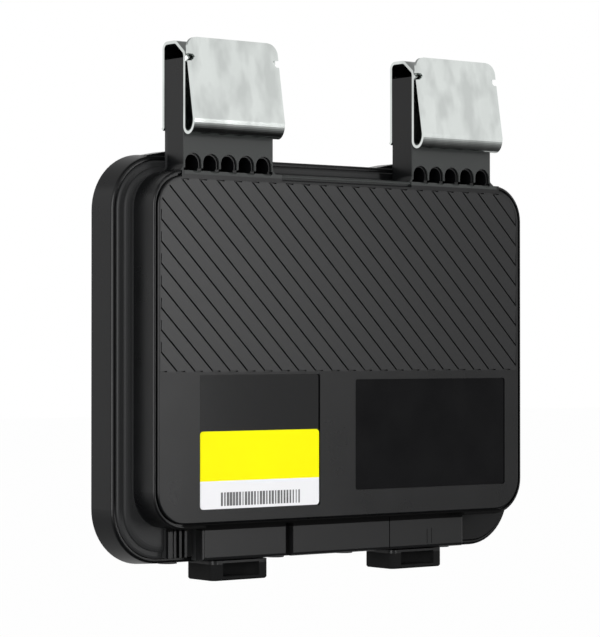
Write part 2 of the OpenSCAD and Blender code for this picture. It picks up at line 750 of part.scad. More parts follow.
module rear_housing() {
    color(housing_black) difference() {
        union() {
            difference() {
                translate([0, 0, -base_drop])
                    turned_slab(lip_out_w, lip_out_h, lip_out_r,
                                concat(round_front(lip_y, lip_round),
                                       [[base_draft, body_depth - back_bevel], [base_draft - back_bevel, body_depth]]));
                translate([0, 0, -base_drop]) {
                    slab(flange_w + 2 * flange_gap, flange_h + 2 * flange_gap, flange_r + flange_gap,
                         lip_y - 1, seat_y);
                    slab(hollow_w, hollow_h, hollow_r, seat_y - eps, inner_back);
                }
            }
            for (p = posts)
                translate([p[0], pcb_back, p[1]]) rotate([-90, 0, 0]) cylinder(h = post_h + eps, d = post_d);
            for (x = inlets)
                span([x - inlet_r - boss_wall, inlet_y - inlet_r - boss_wall, lip_bottom + 1],
                     [x + inlet_r + boss_wall, inner_back + eps, inlet_top]);
            for (s = [-1, 1]) translate([s * foot_x, 0, 0]) foot();
            for (s = [-1, 1]) translate([s * upright_pitch / 2, 0, 0]) shoulder();
        }
        translate([0, 0, -base_drop])
            ring(flange_w - 2 * seal_in, flange_h - 2 * seal_in, flange_r - seal_in,
                 seal_w + 2 * seal_gap, seat_y - 1, seat_y + seal_t);
        for (p = posts)
            translate([p[0], pcb_back - eps, p[1]]) rotate([-90, 0, 0])
                cylinder(h = screw_len + tip_room + eps, d = screw_d + 2 * screw_gap, $fn = 48);
        translate([0, 0, (field_bottom + field_top) / 2])
            slab(lip_out_w - 2 * back_rim, field_top - field_bottom, field_r,
                 body_depth - back_field, body_depth + 1);
        for (x = inlets) {
            translate([x, inlet_y, base_bottom - 1]) cylinder(h = sleeve_len + 1, r = inlet_r);
            translate([x, inlet_y, inlet_top - eps])
                cylinder(h = term_bottom - inlet_top + eps, d = cable_d + 2 * trough_gap);
        }
    }
}

// Seal groove sits in the middle of the seat
seal_in = (seat_w - flange_gap - seal_w) / 2 - seal_gap;

module housing_seal() {
    color([0.3, 0.3, 0.32]) translate([0, 0, -base_drop])
        ring(flange_w - 2 * seal_in - 2 * seal_gap, flange_h - 2 * seal_in - 2 * seal_gap,
             flange_r - seal_in - seal_gap, seal_w, seat_y, seat_y + seal_t);
}

// Middle line of the spring strip, from the back leg's end to the outer plate's top, as [y, z]
function arc(c, r, a0, a1, n) = [for (i = [0:n]) let (a = a0 + (a1 - a0) * i / n) c + r * [cos(a), sin(a)]];
function bow(c, r, a0, a1, n) = [for (i = [1:n]) let (a = a0 + (a1 - a0) * i / n) c + [r[0] * cos(a), r[1] * sin(a)]];
back_y = upright_y + upright_t + clip_t / 2;
front_y = leg_y + clip_t / 2;
top_z = clip_top - clip_t / 2;
clip_path = concat(
    [[back_y + flare, upright_top - back_leg - flare_h], [back_y, upright_top - back_leg]],
    arc([back_y - bend_back, top_z - bend_back], bend_back, 0, 90, 8),
    arc([front_y + lead_in, top_z - bend_front], bend_front, 90, 135, 5),
    arc([front_y + bend_lead, upright_top + lead_over], bend_lead, 150, 180, 4),
    arc([slot_y, bend_z], bend_r, 0, -90, 10),
    bow([slot_y, kink_z], [bend_r + bend_bulge, bend_r + kink_h], -90, -180, 12),
    [[plate_top_y, plate_top]]
);
function unit(v) = v / norm(v);
function side(v) = [-v[1], v[0]];
// Point of the path moved sideways by d, mitred where the path turns
function moved(p, i, d) =
    let (n = len(p) - 1,
         a = i > 0 ? unit(p[i] - p[i - 1]) : unit(p[1] - p[0]),
         b = i < n ? unit(p[i + 1] - p[i]) : unit(p[n] - p[n - 1]),
         m = unit(side(a) + side(b)))
    p[i] + m * d / (m * side(a));

module clip() {
    n = len(clip_path) - 1;
    profile = concat([for (i = [0:n]) moved(clip_path, i, clip_t / 2)],
                     [for (i = [n:-1:0]) moved(clip_path, i, -clip_t / 2)]);
    notch_z = plate_top - tooth_z;
    cut_y = leg_y - 0.02;
    difference() {
        rotate([90, 0, 90]) linear_extrude(height = clip_w, center = true) polygon(profile);
        for (s = [-1, 1]) {
            translate([s * clip_w / 2, leg_y + 0.4, plate_top]) rotate([90, 0, 0])
                linear_extrude(height = 8) difference() {
                    translate([-clip_r, -clip_r]) square([2 * clip_r, 2 * clip_r]);
                    translate([-s * clip_r, -clip_r]) circle(clip_r);
                    translate([s > 0 ? -clip_r - 5 : clip_r, -clip_r]) square([5, 2 * clip_r]);
                }
            translate([s * clip_w / 2, cut_y, notch_z]) rotate([90, 0, 0]) linear_extrude(height = 8)
                polygon([[s, 0], [-s * notch_w * 0.75, 0], [-s * notch_w, -notch_h * 0.4],
                         [-s * notch_w * 0.45, -notch_h], [s, -notch_h]]);
        }
    }
    tooth_y = plate_y + clip_t / 2 + plate_lean * (notch_z - kink_z);
    for (s = [-1, 1])
        translate([s * clip_w / 2, 0, notch_z]) rotate([90, 0, 90])
            translate([0, 0, s > 0 ? -1.4 : 0]) linear_extrude(height = 1.4)
                polygon([[tooth_y - 0.3, 0], [tooth_y + tooth_len, 0], [tooth_y + tooth_len, 0.3],
                         [tooth_y, 1.4], [tooth_y - 0.3, 1.4]]);
}

module clip_left() { color([0.8, 0.81, 0.82]) translate([-upright_pitch / 2, 0, 0]) clip(); }

module clip_right() { color([0.8, 0.81, 0.82]) translate([upright_pitch / 2, 0, 0]) clip(); }

module id_label() {
    color([0.98, 0.95, 0.1]) translate([-label_x, 0, face_bottom + label_z + label_h / 2])
        slab(label_w, label_h, 1.0, label_recess - label_t, label_recess);
}

module rating_plate() {
    color([0.08, 0.08, 0.09]) translate([plate_x, 0, face_bottom + plate_z + plate_h / 2])
        slab(plate_w, plate_h, 0.7, plate_recess - plate_t, plate_recess);
}

module circuit_board() {
    color([0.06, 0.3, 0.16]) difference() {
        translate([0, 0, pcb_z]) slab(pcb_w, pcb_h, board_r, pcb_front, pcb_back);
        for (p = posts)
            translate([p[0], pcb_front - 1, p[1]]) rotate([-90, 0, 0])
                cylinder(h = pcb_t + 2, d = screw_d + 2 * board_gap, $fn = 48);
    }
}

module board_screws() {
    color([0.7, 0.7, 0.72]) for (p = posts)
        translate([p[0], pcb_front, p[1]]) rotate([-90, 0, 0]) {
            difference() {
                translate([0, 0, -head_h]) cylinder(h = head_h, d = head_d, $fn = 48);
                translate([-head_d * 0.3, -cross_w / 2, -head_h - 1]) cube([head_d * 0.6, cross_w, cross_d + 1]);
                translate([-cross_w / 2, -head_d * 0.3, -head_h - 1]) cube([cross_w, head_d * 0.6, cross_d + 1]);
            }
            cylinder(h = pcb_t + screw_len, d = screw_d, $fn = 48);
        }
}

// Place on the board's front: p is x across and z up from the board's middle
module on_front(p) { translate([p[0], pcb_front, pcb_z + p[1]]) rotate([90, 0, 0]) children(); }

// Place on the board's rear: p is x across and z up from the board's middle
module on_back(p) { translate([p[0], pcb_back, pcb_z + p[1]]) rotate([-90, 0, 0]) children(); }

module block(w, d, h) { translate([-w / 2, -d / 2, 0]) cube([w, d, h]); }

module inductor_core() {
    base_t = (core_h - wind_h - 2 * wind_gap) / 2;
    color([0.28, 0.28, 0.3]) on_front(core_at) difference() {
        block(core_s, core_s, core_h);
        translate([0, 0, base_t]) difference() {
            cylinder(h = wind_h + 2 * wind_gap, d = wind_d + 2 * wind_gap);
            translate([0, 0, -1]) cylinder(h = wind_h + 4, d = leg_d);
        }
        translate([-core_slot / 2, -core_s, base_t])
            cube([core_slot, core_s - leg_d / 2 - slot_stop, wind_h + 2 * wind_gap]);
    }
}

module inductor_winding() {
    base_t = (core_h - wind_h - 2 * wind_gap) / 2;
    color([0.72, 0.42, 0.2]) on_front(core_at) translate([0, 0, base_t]) difference() {
        cylinder(h = wind_h + wind_gap, d = wind_d);
        translate([0, 0, -1]) cylinder(h = wind_h + 4, d = leg_d + 2 * wind_gap);
    }
}

// Can with a square foot, as a surface-mounted storage capacitor
module can() {
    block(cap_d + can_rim, cap_d + can_rim, can_foot);
    translate([0, 0, can_foot - eps]) cylinder(h = cap_h - can_foot + eps, d = cap_d, $fn = 64);
}

module input_capacitors() {
    color([0.62, 0.63, 0.66]) for (i = [0:2]) on_front([can_x + i * can_step, can_in_z]) can();
}

module output_capacitors() {
    color([0.62, 0.63, 0.66]) for (i = [0:2]) on_front([can_x + i * can_step, can_out_z]) can();
}

module filter_capacitors() {
    color([0.62, 0.5, 0.36]) for (i = [0:3]) on_front([can_x + i * filter_step, filter_z])
        block(filter_l, filter_w, filter_h);
}

module power_transistors() {
    color([0.1, 0.1, 0.11]) for (i = [-1.5:1.5]) on_back([i * fet_pitch, fet_z - pcb_z]) block(fet_w, fet_w, fet_t);
}

module thermal_pad() {
    color([0.55, 0.6, 0.68])
        on_back([0, fet_z - pcb_z]) translate([0, 0, fet_t]) block(spread_w - 2 * pad_in, spread_h - 2 * pad_in, pad_t);
}

module heat_spreader() {
    color([0.75, 0.76, 0.78]) on_back([0, fet_z - pcb_z]) translate([0, 0, fet_t + pad_t])
        block(spread_w, spread_h, post_h - fet_t - pad_t);
}

module bypass_diode() { color([0.09, 0.09, 0.1]) on_front(diode_at) block(diode_w, diode_l, diode_h); }

module current_shunt() { color([0.45, 0.45, 0.47]) on_front(shunt_at) block(shunt_l, shunt_w, shunt_h); }

module controller_chip() { color([0.08, 0.08, 0.09]) on_front(chip_at) block(chip_s, chip_s, chip_h); }

module clock_crystal() { color([0.8, 0.78, 0.7]) on_front(crystal_at) block(crystal_l, crystal_w, crystal_h); }

module radio_chip() { color([0.08, 0.08, 0.09]) on_front(radio_at) block(radio_s, radio_s, radio_h); }

module radio_shield() {
    color([0.78, 0.79, 0.8]) on_front(radio_at) difference() {
        block(shield_w, shield_l, shield_h);
        translate([0, 0, -1])
            block(shield_w - 2 * shield_t, shield_l - 2 * shield_t, shield_h - shield_t + 1);
    }
}

module radio_antenna() { color([0.9, 0.9, 0.88]) on_front(antenna_at) block(antenna_l, antenna_w, antenna_h); }

// Tabs behind the board that take the bared ends of the cables
module cable_terminals() {
    color([0.8, 0.66, 0.34]) for (x = inlets) difference() {
        on_back([x, term_z - pcb_h / 2]) block(term_w, term_len, post_h - term_gap);
        translate([x, pcb_back + (post_h - term_gap) / 2, term_bottom - 1])
            cylinder(h = term_len * 0.6 + 1, d = wire_d, $fn = 32);
    }
}

// Rubber sleeve that seals a cable where it enters
module sleeve(x) {
    color([0.2, 0.2, 0.21]) translate([x, inlet_y, base_bottom]) difference() {
        cylinder(h = sleeve_len, r = inlet_r);
        translate([0, 0, -1]) cylinder(h = sleeve_len + 2, r = inlet_r - sleeve_t);
    }
}

module sleeve_input_pos() { sleeve(-inlet_out_x); }

module sleeve_input_neg() { sleeve(-inlet_in_x); }

module sleeve_output_pos() { sleeve(inlet_in_x); }

module sleeve_output_neg() { sleeve(inlet_out_x); }

seated() front_cover();
seated() rear_housing();
seated() housing_seal();
seated() clip_left();
seated() clip_right();
seated() id_label();
seated() rating_plate();
seated() circuit_board();
seated() board_screws();
seated() inductor_core();
seated() inductor_winding();
seated() input_capacitors();
seated() output_capacitors();
seated() filter_capacitors();
seated() power_transistors();
seated() thermal_pad();
seated() heat_spreader();
seated() bypass_diode();
seated() current_shunt();
seated() controller_chip();
seated() clock_crystal();
seated() radio_chip();
seated() radio_shield();
seated() radio_antenna();
seated() cable_terminals();
seated() sleeve_input_pos();
seated() sleeve_input_neg();
seated() sleeve_output_pos();
seated() sleeve_output_neg();
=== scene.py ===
"""Looks of a clip-on power optimizer: moulded case, spring clips, label and the parts inside."""

import logging
import math
from dataclasses import dataclass, field
from enum import Enum

import bpy
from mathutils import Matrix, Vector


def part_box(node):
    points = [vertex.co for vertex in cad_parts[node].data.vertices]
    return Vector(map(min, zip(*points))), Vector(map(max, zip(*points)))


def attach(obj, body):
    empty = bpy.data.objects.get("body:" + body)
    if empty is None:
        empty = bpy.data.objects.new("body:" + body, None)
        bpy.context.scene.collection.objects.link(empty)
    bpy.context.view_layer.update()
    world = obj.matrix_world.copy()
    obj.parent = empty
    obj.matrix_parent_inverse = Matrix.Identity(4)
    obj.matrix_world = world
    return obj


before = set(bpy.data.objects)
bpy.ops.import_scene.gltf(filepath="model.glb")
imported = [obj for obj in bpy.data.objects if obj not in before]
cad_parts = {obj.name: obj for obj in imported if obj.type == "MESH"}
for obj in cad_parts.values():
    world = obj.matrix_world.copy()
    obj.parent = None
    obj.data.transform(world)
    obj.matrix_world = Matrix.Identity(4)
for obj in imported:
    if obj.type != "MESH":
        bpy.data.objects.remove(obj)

log = logging.getLogger("power_optimizer")

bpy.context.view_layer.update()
MM = 0.001

Colour = tuple[float, float, float]
Point = tuple[float, float, float]
Join = tuple[bpy.types.NodeSocket, bpy.types.NodeSocket]

WHITE = (1.0, 1.0, 1.0, 1.0)
# Range that the value of a Noise texture mostly keeps to
CLOUD_LOW = 0.3
CLOUD_HIGH = 0.7
# Length of one band of a Wave texture at scale 1
WAVE_LENGTH = 0.314
# Places of sockets whose names repeat within their node
MIX_NUMBERS = (2, 3)
MIX_NUMBER = 0
MIX_COLOURS = (6, 7)
MIX_COLOUR = 2
RANDOM_LOW = 2
RANDOM_HIGH = 3
RANDOM_NUMBER = 1


class Slot(Enum):
    """Material slot name of the record; no piece is given it in this script."""

    LABEL = "label_film"


class Operation(Enum):
    """What a Math node works out."""

    PRODUCT = "MULTIPLY"
    NEAR = "COMPARE"
    ABOVE = "GREATER_THAN"
    LARGER = "MAXIMUM"


def clear_tree(owner: bpy.types.ID) -> bpy.types.NodeTree:
    """Switch on the node tree of a material or world, and empty it.

    Args:
        owner: the material or world.

    Returns:
        The empty tree.
    """
    owner.use_nodes = True
    owner.node_tree.nodes.clear()
    return owner.node_tree


def link_all(tree: bpy.types.NodeTree, joins: tuple[Join, ...]) -> None:
    """Link each pair of sockets, source first."""
    for source, target in joins:
        tree.links.new(source, target)


class NodeSheet:
    """A material's node tree, with short calls to add its nodes and join them."""

    def __init__(self, name: str) -> None:
        """Start an empty tree that holds one Principled shader and the output.

        Args:
            name: the material's name.
        """
        self.material = bpy.data.materials.new(name)
        self.tree = clear_tree(self.material)
        self.shader = self.add("ShaderNodeBsdfPrincipled")
        output = self.add("ShaderNodeOutputMaterial")
        self.join(self.shader.outputs["BSDF"], output.inputs["Surface"])

    def add(self, kind: str, **settings: object) -> bpy.types.Node:
        """Add a node and set its properties.

        Args:
            kind: the node's type.
            settings: the node's own properties by name.

        Returns:
            The new node.
        """
        node = self.tree.nodes.new(kind)
        for key, value in settings.items():
            setattr(node, key, value)
        return node

    def join(self, source: bpy.types.NodeSocket, target: bpy.types.NodeSocket) -> None:
        """Link one socket to another."""
        self.tree.links.new(source, target)

    def feed(self, source: object, target: bpy.types.NodeSocket) -> None:
        """Set a socket from a value, or link it where the source is a socket.

        Args:
            source: number, colour or socket.
            target: the socket that takes it.
        """
        if isinstance(source, bpy.types.NodeSocket):
            self.join(source, target)
        else:
            target.default_value = source

    def calc(self, operation: Operation, first: object, second: object = 0.0,
             third: object = 0.0) -> bpy.types.NodeSocket:
        """Add a Math node.

        Args:
            operation: what the node works out.
            first: number or socket.
            second: number or socket.
            third: number or socket, for the operations that take three.

        Returns:
            The node's value socket.
        """
        node = self.add("ShaderNodeMath", operation=operation.value)
        for place, source in enumerate((first, second, third)):
            self.feed(source, node.inputs[place])
        return node.outputs["Value"]

    def place(self, stretch: Point = (1.0, 1.0, 1.0)) -> bpy.types.NodeSocket:
        """Give the Object coordinates, in metres, scaled along each axis.

        Args:
            stretch: the scale along X, Y and Z.

        Returns:
            The vector socket.
        """
        coords = self.add("ShaderNodeTexCoord")
        mapping = self.add("ShaderNodeMapping")
        mapping.inputs["Scale"].default_value = stretch
        self.join(coords.outputs["Object"], mapping.inputs["Vector"])
        return mapping.outputs["Vector"]

    def noise(self, vector: bpy.types.NodeSocket, size: float,
              detail: float = 3.0) -> bpy.types.NodeSocket:
        """Add a Noise texture whose spots are about a given size.

        Args:
            vector: the coordinates.
            size: spot size in metres.
            detail: octaves.

        Returns:
            The value socket, mostly from CLOUD_LOW to CLOUD_HIGH.
        """
        node = self.add("ShaderNodeTexNoise")
        node.inputs["Scale"].default_value = 1.0 / size
        node.inputs["Detail"].default_value = detail
        self.join(vector, node.inputs["Vector"])
        return node.outputs["Fac"]

    def span(self, value: bpy.types.NodeSocket, low: float, high: float,
             start: float = CLOUD_LOW, end: float = CLOUD_HIGH) -> bpy.types.NodeSocket:
        """Map a value from one range to another, clamped.

        Args:
            value: the value to map.
            low: result at the start.
            high: result at the end.
            start: where the range of the value starts.
            end: where it ends.

        Returns:
            The mapped socket.
        """
        node = self.add("ShaderNodeMapRange")
        for name, source in (("Value", value), ("From Min", start), ("From Max", end),
                             ("To Min", low), ("To Max", high)):
            self.feed(source, node.inputs[name])
        return node.outputs["Result"]

    def blend(self, factor: bpy.types.NodeSocket, first: object,
              second: object) -> bpy.types.NodeSocket:
        """Mix two colours.

        Args:
            factor: 0 gives the first and 1 the second.
            first: colour or socket.
            second: colour or socket.

        Returns:
            The colour socket.
        """
        node = self.add("ShaderNodeMix", data_type="RGBA")
        self.join(factor, node.inputs[0])
        for source, place in zip((first, second), MIX_COLOURS):
            opaque = (*source, 1.0) if isinstance(source, tuple) else source
            self.feed(opaque, node.inputs[place])
        return node.outputs[MIX_COLOUR]

    def swap(self, factor: bpy.types.NodeSocket, first: object,
             second: object) -> bpy.types.NodeSocket:
        """Mix two numbers.

        Args:
            factor: 0 gives the first and 1 the second.
            first: number or socket.
            second: number or socket.

        Returns:
            The value socket.
        """
        node = self.add("ShaderNodeMix", data_type="FLOAT")
        self.join(factor, node.inputs[0])
        for source, place in zip((first, second), MIX_NUMBERS):
            self.feed(source, node.inputs[place])
        return node.outputs[MIX_NUMBER]

    def relief(self, height: bpy.types.NodeSocket, depth: float,
               below: bpy.types.NodeSocket | None = None) -> bpy.types.NodeSocket:
        """Turn a height into a bumped normal.

        Args:
            height: the height, 0 to 1.
            depth: the height of 1 in metres.
            below: a normal that this relief is added to.

        Returns:
            The normal socket.
        """
        node = self.add("ShaderNodeBump")
        node.inputs["Strength"].default_value = 1.0
        node.inputs["Distance"].default_value = depth
        self.join(height, node.inputs["Height"])
        if below is not None:
            self.join(below, node.inputs["Normal"])
        return node.outputs["Normal"]


@dataclass(frozen=True)
class Zone:
    """A box in the part's frame, in millimetres, with a tone and roughness of its own.

    It is open to the front unless front is given.
    """

    left: float
    right: float
    bottom: float
    top: float
    back: float
    rough: float
    tone: Colour
    front: float = -1000.0

    def mask(self, sheet: NodeSheet) -> bpy.types.NodeSocket:
        """Give 1 inside the box and 0 outside.

        Args:
            sheet: the tree that the nodes go into.

        Returns:
            The mask socket.
        """
        parts = sheet.add("ShaderNodeSeparateXYZ")
        sheet.join(sheet.place(), parts.inputs["Vector"])
        sides = {"X": (self.left, self.right), "Y": (self.front, self.back),
                 "Z": (self.bottom, self.top)}
        masks = []
        for axis, (low, high) in sides.items():
            middle = (low + high) / 2 * MM
            half = (high - low) / 2 * MM
            masks.append(sheet.calc(Operation.NEAR, parts.outputs[axis], middle, half))
        across, deep, up = masks
        return sheet.calc(Operation.PRODUCT, sheet.calc(Operation.PRODUCT, across, deep), up)


@dataclass(frozen=True)
class Finish:
    """A surface finish: two close colours, a range of roughness and a fine relief."""

    name: str
    pale: Colour
    deep: Colour
    metallic: float = 0.0
    smooth: float = 0.4
    rough: float = 0.5
    patch: float = 12 * MM
    grain: float = 0.3 * MM
    depth: float = 0.01 * MM
    stretch: Point = (1.0, 1.0, 1.0)
    specular: float = 0.5

    def build(self) -> bpy.types.Material:
        """Make the material.

        Returns:
            The finished material.
        """
        sheet = NodeSheet(self.name)
        at = sheet.place(self.stretch)
        cloud = sheet.noise(at, self.patch)
        grain = sheet.noise(at, self.grain, detail=2.0)
        sheet.shader.inputs["Metallic"].default_value = self.metallic
        sheet.shader.inputs["Specular IOR Level"].default_value = self.specular
        sheet.join(self.colour(sheet, cloud), sheet.shader.inputs["Base Color"])
        sheet.join(self.gloss(sheet, cloud), sheet.shader.inputs["Roughness"])
        sheet.join(self.surface(sheet, grain), sheet.shader.inputs["Normal"])
        return sheet.material

    def colour(self, sheet: NodeSheet, cloud: bpy.types.NodeSocket) -> bpy.types.NodeSocket:
        """Mix the two colours by the cloud."""
        return sheet.blend(sheet.span(cloud, 0.0, 1.0), self.deep, self.pale)

    def gloss(self, sheet: NodeSheet, cloud: bpy.types.NodeSocket) -> bpy.types.NodeSocket:
        """Give the roughness from the cloud."""
        return sheet.span(cloud, self.smooth, self.rough)

    def surface(self, sheet: NodeSheet, grain: bpy.types.NodeSocket) -> bpy.types.NodeSocket:
        """Give the normal with the grain on it."""
        return sheet.relief(grain, self.depth)


@dataclass(frozen=True)
class MouldedPlastic(Finish):
    """Black moulding with a fine grain, and zones whose tones are matched to the photograph."""

    smooth: float = 0.26
    rough: float = 0.32
    depth: float = 0.004 * MM
    specular: float = 0.23
    zones: tuple[Zone, ...] = ()

    def gloss(self, sheet: NodeSheet, cloud: bpy.types.NodeSocket) -> bpy.types.NodeSocket:
        """Give the roughness, with each zone's own.

        Args:
            sheet: the tree that the nodes go into.
            cloud: slow variation.

        Returns:
            The roughness socket.
        """
        value = super().gloss(sheet, cloud)
        for zone in self.zones:
            value = sheet.swap(zone.mask(sheet), value, zone.rough)
        return value

    def colour(self, sheet: NodeSheet, cloud: bpy.types.NodeSocket) -> bpy.types.NodeSocket:
        """Give the black of the moulding, with each zone's own tone; some of those tones are painted
        highlight or painted shade.

        Args:
            sheet: the tree that the nodes go into.
            cloud: slow variation.

        Returns:
            The colour socket.
        """
        value = super().colour(sheet, cloud)
        for zone in self.zones:
            value = sheet.blend(zone.mask(sheet), value, zone.tone)
        return value


@dataclass(frozen=True)
class SpringSteel(Finish):
    """Stainless strip: cloudy rolled surface with upright smears and a faint grain across the strip."""

    smear: float = 5 * MM
    smear_stretch: Point = (1.0, 0.6, 0.5)
    smear_start: float = 0.42
    smear_end: float = 0.66
    smear_depth: float = 0.15
    wave: float = 14 * MM
    wave_depth: float = 0.05 * MM

    def colour(self, sheet: NodeSheet, cloud: bpy.types.NodeSocket) -> bpy.types.NodeSocket:
        """Give the steel's grey, dulled in soft upright smears.

        Args:
            sheet: the tree that the nodes go into.
            cloud: slow variation.

        Returns:
            The colour socket.
        """
        spots = sheet.noise(sheet.place(self.smear_stretch), self.smear, detail=2.0)
        smears = sheet.span(spots, 0.0, 1.0, self.smear_start, self.smear_end)
        dull = tuple(part * (1.0 - self.smear_depth) for part in self.deep)
        return sheet.blend(smears, super().colour(sheet, cloud), dull)

    def surface(self, sheet: NodeSheet, grain: bpy.types.NodeSocket) -> bpy.types.NodeSocket:
        """Give the normal with slow dents under the grain.

        Args:
            sheet: the tree that the nodes go into.
            grain: the fine grain.

        Returns:
            The normal socket.
        """
        dents = sheet.noise(sheet.place(), self.wave, detail=1.0)
        return sheet.relief(grain, self.depth, sheet.relief(dents, self.wave_depth))


@dataclass(frozen=True)
class PrintedFilm(Finish):
    """Label film: a field of one colour above a strip of another."""

    strip: Colour = (0.86, 0.86, 0.88)
    border: float = -90.1 * MM

    def colour(self, sheet: NodeSheet, cloud: bpy.types.NodeSocket) -> bpy.types.NodeSocket:
        """Give the field above the border and the strip below it.

        Args:
            sheet: the tree that the nodes go into.
            cloud: slow variation.

        Returns:
            The colour socket.
        """
        parts = sheet.add("ShaderNodeSeparateXYZ")
        sheet.join(sheet.place(), parts.inputs["Vector"])
        upper = sheet.calc(Operation.ABOVE, parts.outputs["Z"], self.border)
        return sheet.blend(upper, self.strip, super().colour(sheet, cloud))


@dataclass(frozen=True)
class WoundWire(Finish):
    """Enamelled wire wound side by side."""

    pitch: float = 1.2 * MM
    swell: float = 0.24 * MM

    def surface(self, sheet: NodeSheet, grain: bpy.types.NodeSocket) -> bpy.types.NodeSocket:
        """Give the normal of the turns.

        Args:
            sheet: the tree that the nodes go into.
            grain: the fine grain.

        Returns:
            The normal socket.
        """
        turns = sheet.add("ShaderNodeTexWave", wave_type="BANDS", bands_direction="Y")
        turns.inputs["Scale"].default_value = WAVE_LENGTH / self.pitch
        sheet.join(sheet.place(), turns.inputs["Vector"])
        return sheet.relief(grain, self.depth, sheet.relief(turns.outputs["Fac"], self.swell))


@dataclass(frozen=True)
class BoardLaminate(Finish):
    """Solder-masked board: copper tracks show as paler lanes under the mask."""

    lane: float = 6 * MM
    jitter: float = 0.7
    track: float = 0.1
    track_end: float = 0.14

    def colour(self, sheet: NodeSheet, cloud: bpy.types.NodeSocket) -> bpy.types.NodeSocket:
        """Give the mask's green, paler over the tracks.

        Args:
            sheet: the tree that the nodes go into.
            cloud: slow variation.

        Returns:
            The colour socket.
        """
        cells = sheet.add("ShaderNodeTexVoronoi", feature="DISTANCE_TO_EDGE", distance="MANHATTAN")
        cells.inputs["Scale"].default_value = 1.0 / self.lane
        cells.inputs["Randomness"].default_value = self.jitter
        sheet.join(sheet.place(), cells.inputs["Vector"])
        tracks = sheet.span(cells.outputs["Distance"], 1.0, 0.0, self.track, self.track_end)
        return sheet.blend(tracks, self.deep, self.pale)


def dress(node: str, material: bpy.types.Material) -> None:
    """Give a CAD node a finish.

    Args:
        node: the node's name.
        material: the finish.
    """
    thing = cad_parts[node]
    thing.data.materials.clear()
    thing.data.materials.append(material)
    log.info("%s dressed in %s", node, material.name)


def settle(piece: bpy.types.Object) -> None:
    """Fix a new piece to the object.

    Args:
        piece: the piece, with its place in its mesh.
    """
    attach(piece, "root")
    log.info("%s: %d faces", piece.name, len(piece.data.polygons))


@dataclass
class Case:
    """The moulded case: front cover with its uprights, rear housing with its feet, and the seal."""

    black: Colour = (0.0024, 0.0026, 0.0029)
    worn: Colour = (0.0034, 0.0036, 0.0040)
    panel: Zone = Zone(left=-49.2, right=-9.6, bottom=-77.2, top=-62.6, back=20.0, rough=0.14,
                       tone=(0.0026, 0.0028, 0.0031))
    # Painted sheen: the uprights' front takes a far paler tone than the rest of the black moulding.
    uprights: Zone = Zone(left=-54.0, right=54.0, bottom=-11.0, top=40.0, back=2.6, rough=0.42,
                          tone=(0.034, 0.037, 0.036))
    ribbed: Zone = Zone(left=-61.5, right=61.5, bottom=-61.9, top=-12.2, back=3.0, rough=0.3,
                        tone=(0.0105, 0.0108, 0.0113))
    # Painted highlight: the ledges around the face, on the left side only, take a paler tone.
    steps_painted_highlight: Zone = Zone(left=-80.0, right=20.0, bottom=-130.0, top=0.0, back=40.0, rough=0.46,
                       tone=(0.021, 0.0215, 0.0221), front=9.6)
    band: Zone = Zone(left=-44.5, right=47.2, bottom=-111.6, top=-103.25, back=9.4, rough=0.29,
                      tone=(0.009, 0.0092, 0.0096))
    # Painted shade: the lower right corner is held at the darkest black and made rougher.
    corner: Zone = Zone(left=47.2, right=75.0, bottom=-113.0, top=-101.0, back=40.0, rough=0.62,
                        tone=(0.0024, 0.0026, 0.0029))
    # Painted shadow: the strip under the face, above the band, is near black.
    strip: Zone = Zone(left=-54.0, right=56.0, bottom=-103.25, top=-101.0, back=9.4, rough=0.95,
                       tone=(0.0005, 0.0005, 0.0006))
    # Painted shade: the feet take a darker black than the rest of the housing.
    feet: Zone = Zone(left=-60.0, right=60.0, bottom=-130.0, top=-112.4, back=40.0, rough=0.8,
                      tone=(0.0016, 0.0017, 0.0019))

    def dress(self) -> None:
        """Dress the two mouldings and the seal."""
        face = (self.panel, self.uprights, self.ribbed, self.steps_painted_highlight, self.band, self.corner, self.strip)
        cover = MouldedPlastic("cover_moulding", self.worn, self.black, grain=0.22 * MM, zones=face)
        housing = MouldedPlastic("housing_moulding", self.worn, self.black, grain=0.25 * MM,
                                 zones=(self.feet,))
        seal = Finish("seal_rubber", (0.02, 0.02, 0.02), (0.012, 0.012, 0.012), smooth=0.6, rough=0.75)
        dress("front_cover", cover.build())
        dress("rear_housing", housing.build())
        dress("housing_seal", seal.build())


@dataclass
class Clips:
    """The two spring clips that grip the panel's frame."""

    names: tuple[str, ...] = ("clip_left", "clip_right")

    def dress(self) -> None:
        """Dress both clips in the same strip."""
        steel = SpringSteel("spring_steel", (0.705, 0.74, 0.72), (0.65, 0.682, 0.665), metallic=1.0,
                            smooth=0.10, rough=0.16, patch=9 * MM, grain=0.5 * MM, depth=0.002 * MM,
                            stretch=(1.0, 1.0, 0.6))
        material = steel.build()
        for name in self.names:
            dress(name, material)


